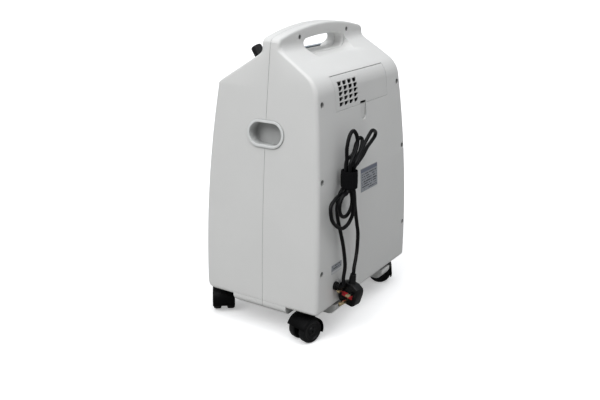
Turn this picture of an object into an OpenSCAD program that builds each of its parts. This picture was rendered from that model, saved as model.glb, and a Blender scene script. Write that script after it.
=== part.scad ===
// Oxygen concentrator: a wheeled floor cabinet with a carrying handle, a filter
// door and a coiled mains cord at the rear, controls and a humidifier at the front.
// Millimetres. +Z is up, +Y is the rear, the front faces -Y.
// The origin is on the floor, under the middle of the cabinet.

/* [Cabinet] */
// Height of the top of the handle above the floor
cabinet_top = 601; // [600:1:602]
// Half of the width at the widest level
half_width = 196; // [195:0.5:197]
// Half of the depth at the deepest level
half_depth = 134.3; // [134:0.1:134.6]
// Level of the cabinet's underside
body_bottom = 63; // [63:1:63]
// Wall thickness of the moulded shells
wall = 3; // [2.8:0.1:3.2]
// Radius of the upright corners in plan
corner_r = 9; // [8:0.5:10]
// Gap seen between the front and the rear shell
seam_gap = 0.4; // [0.3:0.1:0.5]
// Position of the parting plane, front to rear
parting_y = 6.6; // [6.6:0.1:6.6]

/* [Handle] */
// Thickness of the handle wall, front to rear
handle_depth = 39; // [39:1:39]
// Half of the width of the hand opening
opening_half = 76; // [74:1:77]
// Level of the floor of the hand opening
opening_floor = 546; // [545:1:547]

/* [Filter door] */
// Half of the width of the door
door_half = 107.2; // [105:0.1:107.2]
// Thickness of the door panel
door_t = 2.6; // [2.4:0.1:2.6]
// Angle the door stands open by
door_open = 0; // [0:1:60]

/* [Casters] */
// Radius of a caster wheel
wheel_r = 25; // [25:0.5:25]
// Distance from the swivel axis to the wheel axle
caster_trail = 13; // [12:0.5:13]

/* [Hidden] */
$fn = 48;
slope_a = 32.5;
far = 400;
// rear slope: passes this point behind the handle
slope_y0 = 26;
slope_z0 = 562.4;
rear_round = 50;
front_round = 12;
face_peak_z = 121;
front_bow = 6036;
rear_bow = 6576;
side_bow = 7706;
side_peak_z = 56;
rear_lean = 6.34;
rear_corner_z = 507.8;
rear_corner_y = slope_y0 + (slope_z0 - rear_corner_z) / tan(slope_a);
front_lean = 6.6;
front_corner_z = 493;
front_corner_y = -112.3;
front_edge_r = 14;
base_edge_r = 5;
skin_top = 562;
cavity_top = 540;
cavity_floor = body_bottom + wall;
// centre of the rounding arc between two straight profile lines
rear_t = rear_round * tan((90 - slope_a - rear_lean) / 2);
rear_cy = rear_corner_y - rear_t * cos(slope_a) - rear_round * sin(slope_a);
rear_cz = rear_corner_z + rear_t * sin(slope_a) - rear_round * cos(slope_a);
front_t = front_round * tan((90 - slope_a - front_lean) / 2);
front_cy = front_corner_y + front_t * cos(slope_a) + front_round * sin(slope_a);
front_cz = front_corner_z + front_t * sin(slope_a) - front_round * cos(slope_a);

// half width, rear and front of the cabinet at level z, t inside the surface
function half_w(z, t = 0) = half_width - pow(z - side_peak_z, 2) / side_bow - t;
function rear_y(z, t = 0) =
    z < rear_cz + (rear_round - t) * sin(rear_lean)
    ? half_depth - pow(z - face_peak_z, 2) / rear_bow - t
    : z < rear_cz + (rear_round - t) * cos(slope_a)
    ? rear_cy + sqrt(pow(rear_round - t, 2) - pow(z - rear_cz, 2))
    : slope_y0 + (slope_z0 - z) / tan(slope_a) - t / sin(slope_a);
function front_y(z, t = 0) =
    z < front_cz + (front_round - t) * sin(front_lean)
    ? -half_depth + pow(z - face_peak_z, 2) / front_bow + t
    : z < front_cz + (front_round - t) * cos(slope_a)
    ? front_cy - sqrt(pow(front_round - t, 2) - pow(z - front_cz, 2))
    : front_corner_y + (z - front_corner_z) / tan(slope_a) + t / sin(slope_a);
// inset of a bottom edge rounded with radius r
function edge_in(z, r) = z < body_bottom + r ? r - sqrt(r * r - pow(body_bottom + r - z, 2)) : 0;

corner_steps = 5;
// the outline of one level, counter-clockwise seen from above
function ring(z, t) =
    let (e = edge_in(z, base_edge_r), f = edge_in(z, front_edge_r), r = corner_r - t * 0.6,
         hx = half_w(z, t) - e - r, hy = rear_y(z, t) - e - r, ly = front_y(z, t) + f + r)
    [for (q = [0:3]) for (k = [0:corner_steps])
        let (a = q * 90 + k * 90 / corner_steps)
        [(q == 0 || q == 3 ? hx : -hx) + r * cos(a), (q < 2 ? hy : ly) + r * sin(a), z]];

// a closed solid through a list of equal rings
module loft(rings) {
    n = len(rings[0]);
    m = len(rings);
    polyhedron(
        points = [for (g = rings) for (p = g) p],
        faces = concat(
            [[for (j = [0:n - 1]) j]],
            [[for (j = [n - 1:-1:0]) (m - 1) * n + j]],
            [for (i = [0:m - 2]) for (j = [0:n - 1])
                [i * n + j, (i + 1) * n + j, (i + 1) * n + (j + 1) % n]],
            [for (i = [0:m - 2]) for (j = [0:n - 1])
                [i * n + j, (i + 1) * n + (j + 1) % n, i * n + (j + 1) % n]]));
}

outer_levels = concat(
    [for (a = [0:30:60]) body_bottom + base_edge_r * (1 - cos(a))],
    [for (z = [65.6, 68, 71, 74, 77, 110]) z],
    [for (z = [150:40:470]) z],
    [for (z = [482:3.9:521]) z],
    [535, 550, skin_top]);
inner_levels = concat(
    [for (z = [cavity_floor, 68, 71, 74, 77, 110]) z],
    [for (z = [150:40:470]) z],
    [for (z = [482:3.9:521]) z],
    [530, cavity_top]);

module skin(t = 0) {
    loft([for (z = t == 0 ? outer_levels : inner_levels) ring(z, t)]);
}

// ---- handle ---------------------------------------------------------------
arch_r = 656;
arch_cz = cabinet_top - arch_r;
shoulder_r = 14;
shoulder_x = 147.7;
shoulder_z = arch_cz + sqrt(pow(arch_r - shoulder_r, 2) - shoulder_x * shoulder_x);
shoulder_lean = 7.46;
arch_a = asin(shoulder_x / (arch_r - shoulder_r));
handle_foot = 545;
handle_edge = 5;
function handle_half(e) =
    concat([[half_w(handle_foot) - 0.6 - e, handle_foot]],
        [for (k = [0:4]) let (a = shoulder_lean + k * (90 - arch_a - shoulder_lean) / 4)
            [shoulder_x + (shoulder_r - e) * cos(a), shoulder_z + (shoulder_r - e) * sin(a)]],
        [for (k = [1:6]) let (a = arch_a * (1 - k / 6))
            [(arch_r - e) * sin(a), arch_cz + (arch_r - e) * cos(a)]]);
function handle_ring(y, e) =
    let (h = handle_half(e), n = len(h))
    concat([for (p = h) [p[0], y, p[1]]], [for (i = [n - 2:-1:0]) [-h[i][0], y, h[i][1]]]);
handle_front = parting_y - handle_depth / 2 - 0.1;
handle_rear = slope_y0;

module handle_wall() {
    a_steps = [0, 22.5, 45, 67.5, 90];
    loft(concat(
        [for (a = a_steps) handle_ring(handle_rear - handle_edge * (1 - cos(a)), handle_edge * (1 - sin(a)))],
        [for (i = [4:-1:0]) let (a = a_steps[i])
            handle_ring(handle_front + handle_edge * (1 - cos(a)), handle_edge * (1 - sin(a)))]));
}

// foot of the handle, swept into the slopes behind and in front
cove_r = 22;
cove_rear_z = 574.47;
cove_front_z = 568.3;
neck_levels = [550, 553, 556, 558, 560.5, 563, 566, 569, 572, 574.4];
function cove(top, z) = cove_r - sqrt(cove_r * cove_r - pow(top - z, 2));
function neck_ring(z) =
    let (hx = half_w(handle_foot) - 0.7 - 0.105 * (z - handle_foot) - corner_r,
         hy = (z < 556 ? rear_y(z) - 0.2 : handle_rear + cove(cove_rear_z, z)) - corner_r,
         ly = handle_front - (z < cove_front_z ? cove(cove_front_z, z) : 0) + corner_r)
    [for (q = [0:3]) for (k = [0:corner_steps])
        let (a = q * 90 + k * 90 / corner_steps)
        [(q == 0 || q == 3 ? hx : -hx) + corner_r * cos(a), (q < 2 ? hy : ly) + corner_r * sin(a), z]];

// hand opening: ends tangent to the floor and to the arch, edges rounded and flared outwards
open_top_r = 632;
open_f = opening_floor - arch_cz;
open_b = 2 * (open_f - opening_half + open_top_r);
open_r = (sqrt(open_b * open_b - 4 * (opening_half * opening_half + open_f * open_f
    - open_top_r * open_top_r)) - open_b) / 2;
open_cx = opening_half - open_r;
open_cz = opening_floor + open_r;
open_a = atan(open_cx / (open_cz - arch_cz));
function opening_half_ring(e, d) =
    concat([for (k = [0:8]) let (a = -90 + k * (180 - open_a) / 8)
            [open_cx + (open_r + e) * cos(a), open_cz + (a < 0 ? open_r + d : open_r + e) * sin(a)]],
        [for (k = [1:5]) let (a = open_a * (1 - k / 5))
            [(open_top_r + e) * sin(a), arch_cz + (open_top_r + e) * cos(a)]]);
function opening_ring(y, e, d) =
    let (h = opening_half_ring(e, d), n = len(h))
    concat([for (p = h) [p[0], y, p[1]]], [for (i = [n - 2:-1:0]) [-h[i][0], y, h[i][1]]]);
module hand_opening() {
    r = handle_edge;
    drop = 2;
    a_steps = [0, 22.5, 45, 67.5, 90];
    loft(concat(
        [opening_ring(90, 8.8, 5), opening_ring(56, 6.8, 3.5)],
        [for (a = a_steps)
            opening_ring(handle_rear - r * (1 - cos(a)), r * (1 - sin(a)), drop * (1 - sin(a)))],
        [for (i = [4:-1:0]) let (a = a_steps[i])
            opening_ring(handle_front + r * (1 - cos(a)), r * (1 - sin(a)), drop * (1 - sin(a)))],
        [opening_ring(-40, 6.6, 3), opening_ring(-70, 8.4, 5)]));
}

// ---- underside ------------------------------------------------------------
belly_x0 = 150;
belly_low = 47;
belly_front = -66;
belly_rear = 62;
belly_side = 195.9;
belly_r = 14;
// skirt below each side wall, between the casters
module belly(grow) {
    bx = belly_side - belly_r;
    bz = belly_low + belly_r;
    g = grow;
    intersection() {
        translate([0, far / 2, 0]) rotate([90, 0, 0]) linear_extrude(far) union() {
            translate([belly_x0 + g, bz]) square([belly_side - belly_x0 - 2 * g, 6]);
            translate([belly_x0 + g, belly_low + g]) square([bx - belly_x0 - g, belly_r - g + 1]);
            translate([bx, bz]) circle(belly_r - g);
        }
        rotate([90, 0, 90]) linear_extrude(far) union() {
            r = 16;
            translate([belly_front + r, belly_low + g]) square([belly_rear - belly_front - r - g, 30]);
            translate([belly_front + r, belly_low + r]) circle(r - g);
            translate([belly_front + g, belly_low + r]) square([r, 30]);
        }
    }
}
module bellies(g = 0) {
    belly(g);
    mirror([1, 0, 0]) belly(g);
}

lug_x0 = 86;
lug_x1 = 122;
lug_low = 37;
// two feet under the rear edge
module rear_lugs() {
    r = 18;
    y1 = 133.6;
    for (s = [0, 1]) mirror([s, 0, 0])
        translate([lug_x0, 0, 0]) rotate([90, 0, 90]) linear_extrude(lug_x1 - lug_x0) union() {
            translate([100, lug_low]) square([y1 - r - 100, 22]);
            translate([100, lug_low + r]) square([y1 - 100, 4]);
            intersection() {
                translate([y1 - r, lug_low + r]) circle(r);
                translate([100, lug_low]) square([40, 22]);
            }
        }
}

// swivel positions and the direction each caster trails in
caster_front = [165, -115];
caster_rear = [168, 102];
rear_left_turn = 297;
casters = [
    [caster_front[0], caster_front[1], 216],
    [-caster_front[0], caster_front[1], 160],
    [caster_rear[0], caster_rear[1], 344.5],
    [-caster_rear[0], caster_rear[1], rear_left_turn]];
stem_hole_r = 5.3;

module stem_holes(z0, h) {
    for (c = casters) translate([c[0], c[1], z0]) cylinder(r = stem_hole_r, h = h);
}
module base_vents(z0, h) {
    for (i = [-4:4]) translate([i * 14 - 3, -62, z0]) cube([6, 56, h]);
}

// ---- shared positions -----------------------------------------------------
screw_rows = [[156, 468.7], [171.6, 326.9], [179.4, 146.6]];
boss_end = 90.2;
head_sunk = 8.4;
shank_end = 77;
handle_screw = [91, 579.4];
grip_z = 406;
grip_lean = 5.2;
grip_w = 84;
grip_h = 53;
gland = [127.7, 104.7];

module at_side() {
    translate([half_w(grip_z), parting_y, grip_z]) rotate([0, 90 - grip_lean, 0]) children();
}
module stadium(w, h) {
    square([h, w - h], center = true);
    for (s = [-1, 1]) translate([0, s * (w - h) / 2]) circle(h / 2);
}
// front slope frame: x to the right, y up the slope, z out of it
slope_mid = [0, -62.65, front_corner_z + (front_corner_y * -1 - 62.65) * tan(slope_a)];
module on_slope() {
    translate(slope_mid) rotate([slope_a, 0, 0]) children();
}
module rear_cyl(x, z, r, y0, y1) {
    translate([x, y0, z]) rotate([-90, 0, 0]) cylinder(r = r, h = y1 - y0);
}

// ---- shells ---------------------------------------------------------------
module shell_core() {
    difference() {
        union() {
            skin(0);
            handle_wall();
            loft([for (z = neck_levels) neck_ring(z)]);
            bellies();
        }
        skin(wall);
        bellies(wall);
        hand_opening();
        for (s = [0, 1]) mirror([s, 0, 0]) at_side()
            translate([0, 0, -12]) linear_extrude(24) stadium(grip_w - 5, grip_h - 5);
        stem_holes(body_bottom - 4, 10);
        base_vents(body_bottom - 1, 5);
    }
}
module half_space(front) {
    s = seam_gap / 2;
    if (front)
        translate([-far, parting_y - s - far, 0]) cube([2 * far, far, 2 * far]);
    else
        translate([-far, parting_y + s, 0]) cube([2 * far, far, 2 * far]);
}

bay_x = -30;
bay_w = 130;
bay_z0 = 236;
bay_h = 180;
bay_back = -42;
module bay(g) {
    r = 18;
    translate([bay_x, 0, bay_z0 - g]) linear_extrude(bay_h + 2 * g) union() {
        translate([-bay_w / 2 - g, -150]) square([bay_w + 2 * g, 150 + bay_back - r]);
        translate([-bay_w / 2 + r, -150]) square([bay_w - 2 * r, 150 + bay_back + g]);
        for (s = [-1, 1]) translate([s * (bay_w / 2 - r), bay_back - r]) circle(r + g);
    }
}
panel_half = 140;
panel_up = 44;
meter_x = 128;
outlet = [80, 345];
knob_at = [128, 30];

module front_shell() {
    color("Gainsboro") difference() {
        union() {
            intersection() {
                shell_core();
                half_space(true);
            }
            intersection() {
                bay(2.5);
                skin(0);
            }
        }
        bay(0);
        on_slope() translate([-panel_half - 0.3, -panel_up - 0.3, -8])
            cube([2 * panel_half + 0.6, 2 * panel_up + 0.6, 16]);
        translate([meter_x - 20, -140, 385]) cube([40, 40, 84]);
        rear_cyl(outlet[0], outlet[1], 6.5, -140, -110);
        for (s = [-1, 1]) rear_cyl(s * handle_screw[0], handle_screw[1], 2, -9, 20);
    }
}

scoop_half = 11.5;
scoop_z = 426.5;
module rear_shell() {
    color("Gainsboro") difference() {
        union() {
            intersection() {
                shell_core();
                half_space(false);
            }
            rear_lugs();
            for (s = [-1, 1]) for (p = screw_rows)
                rear_cyl(s * p[0], p[1], 7, boss_end, rear_y(p[1]) - 1.5);
            translate([-16, rear_y(scoop_z) - 7, 408]) cube([32, 5.5, 33.6]);
            rear_cyl(gland[0], gland[1], 12, 128, rear_y(gland[1]) - 1);
        }
        for (s = [-1, 1]) for (p = screw_rows) {
            rear_cyl(s * p[0], p[1], 5.7, rear_y(p[1]) - head_sunk - 0.1, 150);
            rear_cyl(s * p[0], p[1], 2.2, boss_end - 1, 150);
        }
        for (s = [-1, 1]) {
            rear_cyl(s * handle_screw[0], handle_screw[1], 4.5, 14, 40);
            rear_cyl(s * handle_screw[0], handle_screw[1], 2.2, 0, 40);
        }
        // opening for the filter door
        translate([-door_half - 0.4, 70, door_z0 - 0.4])
            cube([2 * door_half + 0.8, 80, door_z1 - door_z0 + 1]);
        // sockets for the hinge stubs of the door
        translate([-door_half - 3.4, hinge_y, hinge_z]) rotate([0, 90, 0])
            cylinder(r = hinge_r + 0.06, h = 2 * door_half + 6.8);
        // finger recess under the door
        translate([0, rear_y(scoop_z) - 3.4, 0]) rotate([-90, 0, 0]) linear_extrude(20) union() {
            translate([-scoop_half, -door_z0 - 2]) square([2 * scoop_half, door_z0 + 2 - scoop_z]);
            translate([0, -scoop_z]) circle(scoop_half);
        }
        rear_cyl(gland[0], gland[1], 6.6, 110, 150);
        // small hole beside the gland
        rear_cyl(gland[0] - 12.3, gland[1] + 9.8, 1.7, 124, 150);
    }
}

// ---- filter door ----------------------------------------------------------
door_z0 = 448;
door_z1 = 512.2;
hinge_r = 0.85;
hinge_n = 1.3;
hinge_u = 2.6;
door_top_a = asin((door_z1 - rear_cz) / rear_round);
hinge_y = rear_y(door_z1) - hinge_n * cos(door_top_a) + hinge_u * sin(door_top_a);
hinge_z = door_z1 - hinge_n * sin(door_top_a) - hinge_u * cos(door_top_a);
vent_x = [84.7, 65.4, 46, 26.5];
vent_z = [498.3, 488.7, 478.7, 469, 459];
vent_tilt = [42, 63, 85, 84.5, 84.3];
vent_shape = [[-7.7, -3.7], [7.7, -3.7], [7.7, 3.7], [-2.7, 3.7], [-7.7, 0.2]];

module filter_door() {
    n = 20;
    in_top = door_t * sin(door_top_a);
    zs = [for (i = [0:n]) door_z0 + (door_z1 - door_z0) * i / n];
    zi = [for (i = [0:n]) door_z0 + (door_z1 - in_top - door_z0) * i / n];
    color("Gainsboro")
    translate([0, hinge_y, hinge_z]) rotate([door_open, 0, 0]) translate([0, -hinge_y, -hinge_z]) {
        difference() {
            translate([-door_half, 0, 0]) rotate([90, 0, 90]) linear_extrude(2 * door_half)
                polygon(concat([for (z = zs) [rear_y(z), z]],
                    [for (i = [n:-1:0]) [rear_y(zi[i], door_t), zi[i]]]));
            for (i = [0:4]) for (x = vent_x)
                translate([x, rear_y(vent_z[i]), vent_z[i]]) rotate([-vent_tilt[i], 0, 0])
                    linear_extrude(14, center = true) polygon(vent_shape);
            translate([-scoop_half, 100, door_z0 - 1]) cube([2 * scoop_half, 40, 6]);
        }
        for (s = [-1, 1]) translate([s * (door_half + 0.7), hinge_y, hinge_z]) rotate([0, 90, 0])
            cylinder(r = hinge_r, h = 4.6, center = true);
    }
}

module filter_tray() {
    color("DimGray") difference() {
        intersection() {
            translate([-104, 78, 442]) cube([208, 40, 62]);
            skin(wall + 0.6);
        }
        translate([-101.5, 80.5, 444.5]) cube([203, 60, 70]);
        rear_cyl(55, 474, 12, 60, 90);
    }
}
module filter_foam() {
    color([0.12, 0.12, 0.13]) translate([-101, 81, 445]) cube([202, 10, 54]);
}
module intake_filter() {
    color("WhiteSmoke") {
        rear_cyl(55, 474, 27, 36, 70);
        rear_cyl(55, 474, 29, 66, 70);
        rear_cyl(55, 474, 11.5, 70, 80.3);
        rear_cyl(55, 474, 6, 24, 36);
    }
}

// ---- frame inside the cabinet ----------------------------------------------
plate_z = cavity_floor + 0.2;
plate_t = 2.5;
plate_top = plate_z + plate_t;
module base_plate() {
    r = 20;
    hx = 178;
    y0 = -123;
    y1 = 122;
    color("Silver") translate([0, 0, plate_z]) difference() {
        linear_extrude(plate_t) union() {
            translate([-hx + r, y0]) square([2 * (hx - r), y1 - y0]);
            translate([-hx, y0 + r]) square([2 * hx, y1 - y0 - 2 * r]);
            for (s = [-1, 1]) for (y = [y0 + r, y1 - r]) translate([s * (hx - r), y]) circle(r);
        }
        stem_holes(-1, 5);
        base_vents(-1, 5);
    }
}
rail_y = 88;
rail_t = 2;
shelf_z = 286;
module inner_frame() {
    color("Silver") {
        for (s = [0, 1]) mirror([s, 0, 0]) difference() {
            union() {
                translate([0, rail_y + rail_t, 0]) rotate([90, 0, 0]) linear_extrude(rail_t)
                    polygon([[162, plate_top + 0.1], [184, plate_top + 0.1], [189.5, 130],
                        [166, 480], [146, 480], [168, 130]]);
                translate([162, 70, plate_top + 0.1]) cube([22, 19, 2]);
                translate([150, 74, shelf_z - 4.2]) cube([14, 15, 2]);
                translate([150, rail_y, shelf_z - 4.2]) cube([14, rail_t, 12]);
            }
            for (p = screw_rows) rear_cyl(p[0], p[1], 2, rail_y - 4, rail_y + 6);
        }
        difference() {
            translate([-165, -18, shelf_z - 2.1]) cube([330, 105.5, 2]);
            translate([0, fan_y, shelf_z - 4]) cylinder(r = 56, h = 8);
            translate([-70, 70, shelf_z - 4]) cube([24, 16, 8]);
            // way for the hose from the tank
            translate([134.5, 51, shelf_z - 4]) cylinder(r = 6, h = 8);
        }
    }
}
module screw_head_y(x, z, y, r, h, len) {
    difference() {
        rear_cyl(x, z, r, y, y + h);
        translate([x - 3, y + h - 1.2, z - 0.5]) cube([6, 3, 1]);
        translate([x - 0.5, y + h - 1.2, z - 3]) cube([1, 3, 6]);
    }
    rear_cyl(x, z, 1.95, y - len, y + 0.2);
}
module shell_screws() {
    color("DimGray") {
        for (s = [-1, 1]) for (p = screw_rows)
            screw_head_y(s * p[0], p[1], rear_y(p[1]) - head_sunk, 4.4, 2.8,
                rear_y(p[1]) - head_sunk - shank_end);
        for (s = [-1, 1])
            screw_head_y(s * handle_screw[0], handle_screw[1], 14.1, 3.9, 2.6, 21);
    }
}
module side_grips() {
    depth = 27;
    color("WhiteSmoke") for (s = [0, 1]) mirror([s, 0, 0]) at_side() difference() {
        union() {
            translate([0, 0, 0.25]) linear_extrude(2) stadium(grip_w, grip_h);
            translate([0, 0, -depth]) linear_extrude(depth + 1) stadium(grip_w - 6, grip_h - 6);
        }
        translate([0, 0, 2.5 - depth]) linear_extrude(depth + 4) stadium(grip_w - 11, grip_h - 11);
    }
}

// ---- controls on the front slope -------------------------------------------
switch_x = -112;
breaker_x = -78;
display_w = 96;
display_h = 44;
lens_x = 72;
panel_t = 2.8;
module control_panel() {
    color("LightSteelBlue") on_slope() difference() {
        translate([-panel_half, -panel_up, -panel_t]) cube([2 * panel_half, 2 * panel_up, panel_t]);
        translate([switch_x - 13.3, -9.3, -5]) cube([26.6, 18.6, 10]);
        translate([breaker_x, 0, -5]) cylinder(r = 6.2, h = 10);
        translate([-display_w / 2 - 0.2, -display_h / 2 - 0.2, -5])
            cube([display_w + 0.4, display_h + 0.4, 10]);
        for (y = [-12, 0, 12]) translate([lens_x, y, -5]) cylinder(r = 2.8, h = 10);
        translate([knob_at[0], knob_at[1], -5]) cylinder(r = 5.2, h = 10);
    }
}
rocker_tilt = 9;
rocker_z = -2;
pivot_r = 1.25;
module switch_body() {
    color("Black") on_slope() translate([switch_x, 0, 0]) {
        difference() {
            union() {
                translate([-15, -11, 0.1]) cube([30, 22, 1.6]);
                translate([-13, -9, -24]) cube([26, 18, 25]);
                for (x = [-6, 0, 6]) translate([x - 0.4, -2.5, -32]) cube([0.8, 5, 9]);
            }
            translate([-11.3, -7.8, -12]) cube([22.6, 15.6, 20]);
        }
        // pivot pin of the rocker
        translate([-12, 0, rocker_z]) rotate([0, 90, 0]) cylinder(r = pivot_r, h = 24);
    }
}
module power_rocker() {
    color("ForestGreen") on_slope() translate([switch_x, 0, rocker_z]) rotate([-rocker_tilt, 0, 0])
        difference() {
            translate([-11, 0, 0]) rotate([90, 0, 90]) linear_extrude(22)
                polygon([[-6.9, 3.4], [0, 2.4], [6.9, 3.4], [6, -1], [0, -7], [-6, -1]]);
            translate([-12, 0, 0]) rotate([0, 90, 0]) cylinder(r = pivot_r + 0.05, h = 24);
        }
}
module breaker_body() {
    color("Black") on_slope() translate([breaker_x, 0, 0]) difference() {
        union() {
            translate([0, 0, 0.1]) cylinder(r = 9, h = 2.2);
            translate([0, 0, -10]) cylinder(r = 6, h = 11);
            translate([-8, -14, -34]) cube([16, 28, 24]);
        }
        translate([0, 0, -9]) cylinder(r = 4.05, h = 20);
    }
}
module breaker_button() {
    color("WhiteSmoke") on_slope() translate([breaker_x, 0, -4]) cylinder(r = 4, h = 11);
}
module display_window() {
    color("SlateGray") on_slope() {
        translate([-display_w / 2, -display_h / 2, -2.2]) cube([display_w, display_h, 2]);
        for (y = [-12, 0, 12]) translate([lens_x, y, -3]) cylinder(r = 2.6, h = 3.6);
    }
}
module control_board() {
    color("DarkGreen") on_slope() difference() {
        union() {
            translate([-62, -38, -15]) cube([152, 72, 1.6]);
            translate([-44, -19, -13.5]) cube([88, 38, 8]);
            for (i = [0:3]) translate([-50 + i * 26, -34, -19]) cube([14, 10, 4.2]);
            translate([58, 16, -20]) cube([24, 14, 5.2]);
            for (y = [-12, 0, 12]) translate([lens_x, y, -13.6]) cylinder(r = 2.2, h = 9);
        }
        for (x = [-58, 86]) for (y = [-34, 30]) translate([x, y, -22]) cylinder(r = 1.7, h = 12);
    }
}
module flow_valve() {
    color("Goldenrod") on_slope() translate([knob_at[0], knob_at[1], 0]) difference() {
        union() {
            translate([0, 0, -7]) cylinder(r = 9, h = 4);
            translate([0, 0, -8]) cylinder(r = 5, h = 8.5);
            translate([0, 0, -30]) cylinder(r = 10, h = 23.5);
            translate([0, 0, -36]) cylinder(r = 4, h = 7);
        }
        translate([0, 0, -20]) cylinder(r = 3.05, h = 40);
    }
}
knob_h = 23;
module flow_knob() {
    color("Black") on_slope() translate([knob_at[0], knob_at[1], 0]) {
        translate([0, 0, 1.2]) rotate_extrude() polygon([[0, 0], [11.6, 0], [11.6, 2.5], [11, 3.4],
            [10, knob_h - 1.4], [8.8, knob_h], [0, knob_h]]);
        for (i = [0:11]) rotate([0, 0, i * 30]) translate([8.5, -0.7, 4.6]) cube([2.2, 1.4, knob_h - 5.4]);
        translate([0, 0, -18]) cylinder(r = 3, h = 20);
    }
}
meter_y = -97;
meter_z0 = 386;
meter_h = 80;
ball_z = 398;
module flowmeter_body() {
    color("LightCyan") difference() {
        translate([meter_x - 17, meter_y - 13, meter_z0]) cube([34, 26, meter_h]);
        translate([meter_x, meter_y, meter_z0 + 6]) cylinder(r = 4.2, h = meter_h - 12);
        translate([meter_x, meter_y, meter_z0 - 1]) cylinder(r = 3, h = meter_h + 2);
        for (i = [0:10]) translate([meter_x + 6, meter_y - 14, meter_z0 + 12 + i * 5.4])
            cube([i % 2 == 0 ? 7 : 4, 1.5, 0.7]);
    }
}
module flow_ball() {
    color("Silver") translate([meter_x, meter_y, ball_z]) sphere(r = 3.7);
}
outlet_y = -130.4;
// threaded spigot for the union nut of a hose, its thread left out
spigot_r = 7.14;
spigot_l = 10;
module oxygen_outlet() {
    x = outlet[0];
    z = outlet[1];
    color("Goldenrod") {
        rear_cyl(x, z, 11, outlet_y, outlet_y + 3);
        rear_cyl(x, z, 6, outlet_y + 2, -108);
        rear_cyl(x, z, spigot_r, outlet_y - spigot_l, outlet_y + 1);
        rear_cyl(x, z, 2.6, outlet_y - 24, outlet_y - 9);
        for (i = [0:2]) translate([x, outlet_y - 10 - i * 4.6, z]) rotate([90, 0, 0])
            cylinder(r1 = 3.6, r2 = 2.4, h = 4.4);
        difference() {
            rear_cyl(x, z, 9.5, -121, -116);
            rear_cyl(x, z, 6, -125, -110);
        }
    }
}

// ---- humidifier ------------------------------------------------------------
hum = [-30, -87];
hum_r = 41;
hum_z = bay_z0 + 0.3;
hum_h = 128;
module humidifier_bottle() {
    color("LightCyan") translate([hum[0], hum[1], hum_z]) rotate_extrude() union() {
        translate([0, 0]) square([hum_r - 4, 2.6]);
        translate([hum_r - 2.4, 4]) square([2.4, hum_h - 26]);
        difference() {
            translate([hum_r - 4, 4]) circle(4);
            translate([hum_r - 4, 4]) circle(1.6);
            translate([0, 4]) square([hum_r + 2, 10]);
            square([hum_r - 4, 10]);
        }
        polygon([[hum_r, hum_h - 22], [31, hum_h - 12], [31, hum_h], [28.6, hum_h], [28.6, hum_h - 13],
            [hum_r - 2.4, hum_h - 22.6]]);
    }
}
lid_z = hum_z + hum_h;
module humidifier_lid() {
    color("WhiteSmoke") translate([hum[0], hum[1], lid_z]) {
        difference() {
            union() {
                translate([0, 0, -10]) cylinder(r = 34, h = 14);
                for (i = [0:23]) rotate([0, 0, i * 15]) translate([34, 0, -10]) cylinder(r = 1.2, h = 12);
            }
            translate([0, 0, -11]) cylinder(r = 31.1, h = 11.2);
        }
        translate([0, 0, 3]) cylinder(r = 6, h = 12);
        translate([0, 0, 14]) cylinder(r = 3.2, h = 9);
        translate([-14, 0, 3]) cylinder(r = 5, h = 11);
        translate([-14, 0, 9]) rotate([90, 0, 0]) cylinder(r = 3.2, h = 26);
    }
}
module dip_tube() {
    color("WhiteSmoke") translate([hum[0], hum[1], hum_z]) difference() {
        union() {
            translate([0, 0, 12]) cylinder(r = 3, h = hum_h - 12.1);
            translate([0, 0, 8]) cylinder(r = 7, h = 18);
        }
        translate([0, 0, 20]) cylinder(r = 1.8, h = hum_h);
    }
}

// ---- labels ----------------------------------------------------------------
module plate_on_rear(x0, x1, z0, z1, t) {
    zm = (z0 + z1) / 2;
    a = asin((zm - face_peak_z) / (rear_bow / 2));
    translate([x0, rear_y(zm) + 0.14, zm]) rotate([a, 0, 0])
        translate([0, 0, -(z1 - z0) / 2]) cube([x1 - x0, t, z1 - z0]);
}
module labels() {
    color("LightSlateGray") {
        plate_on_rear(-50, 22, 269, 317, 0.3);
        plate_on_rear(103, 142, 133, 151, 0.3);
    }
}

// ---- swept tubes -----------------------------------------------------------
function unit(v) = v / norm(v);
function tangent(p, i) = unit(p[min(i + 1, len(p) - 1)] - p[max(i - 1, 0)]);
function carry(u, t) = unit(u - (u * t) * t);
function frames(p, u0) =
    [for (i = 0, u = carry(u0, tangent(p, 0)); i < len(p);
        u = carry(u, tangent(p, min(i + 1, len(p) - 1))), i = i + 1) u];
function tube_rings(p, r, n) =
    let (f = frames(p, [0.31, 0.42, 0.85]))
    [for (i = [0:len(p) - 1]) let (t = tangent(p, i), u = f[i], w = cross(t, u))
        [for (k = [0:n - 1]) p[i] + r * (cos(k * 360 / n) * u + sin(k * 360 / n) * w)]];
// smooth curve through hand-set points
function spline_at(a, b, c, d, t) =
    0.5 * (2 * b + (c - a) * t + (2 * a - 5 * b + 4 * c - d) * t * t
        + (3 * b - a - 3 * c + d) * t * t * t);
function spline(p, n) = concat(
    [for (i = [0:len(p) - 2]) for (k = [0:n - 1])
        spline_at(p[max(i - 1, 0)], p[i], p[i + 1], p[min(i + 2, len(p) - 1)], k / n)],
    [p[len(p) - 1]]);
module tube(p, r, n = 8) {
    loft(tube_rings(p, r, n));
}
// ---- mains cord ------------------------------------------------------------
cord_r = 3.7;
tie = [111, 152, 324];
slot_r = 8.8;
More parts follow.
